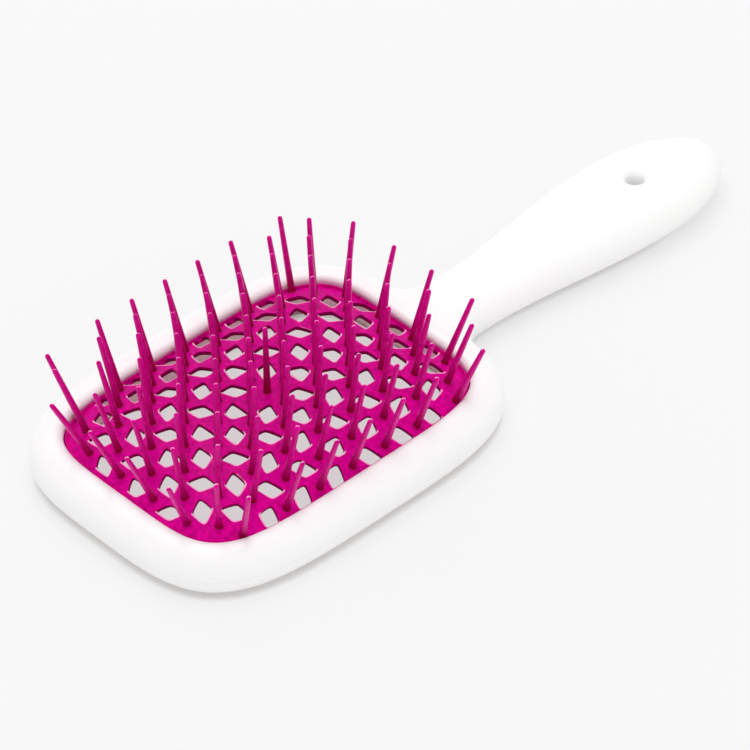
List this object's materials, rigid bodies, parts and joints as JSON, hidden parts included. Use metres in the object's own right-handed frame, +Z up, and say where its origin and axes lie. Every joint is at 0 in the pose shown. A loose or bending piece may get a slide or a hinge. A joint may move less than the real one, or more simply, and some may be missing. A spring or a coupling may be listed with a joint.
{
  "type": "detangling brush",
  "caption": "Vented detangling brush: a flat paddle frame with a rounded handle and hanging eye, clamping a domed open lattice pad of long tapered pins.",
  "frame": {"origin": "on the surface that the brush lies on, under the middle of its bounding box", "axes": "+X along the brush towards the handle's end, +Y across it, +Z up out of the pad along the pins"},
  "size_m": [0.205, 0.082, 0.0352],
  "materials": {
    "frame": "satin white moulded plastic",
    "pad": "flexible magenta plastic with a soft sheen",
    "pins": "flexible magenta plastic, as the pad"
  },
  "bodies": {
    "root": {"front_shell": "frame", "back_shell": "frame", "lattice_pad": "pad", "pin_row_1": "pins", "pin_row_2": "pins", "pin_row_3": "pins", "pin_row_4": "pins", "pin_row_5": "pins", "pin_row_6": "pins", "pin_row_7": "pins", "pin_row_8": "pins", "pin_row_9": "pins", "pin_row_10": "pins", "pin_row_11": "pins"}
  },
  "joints": []
}
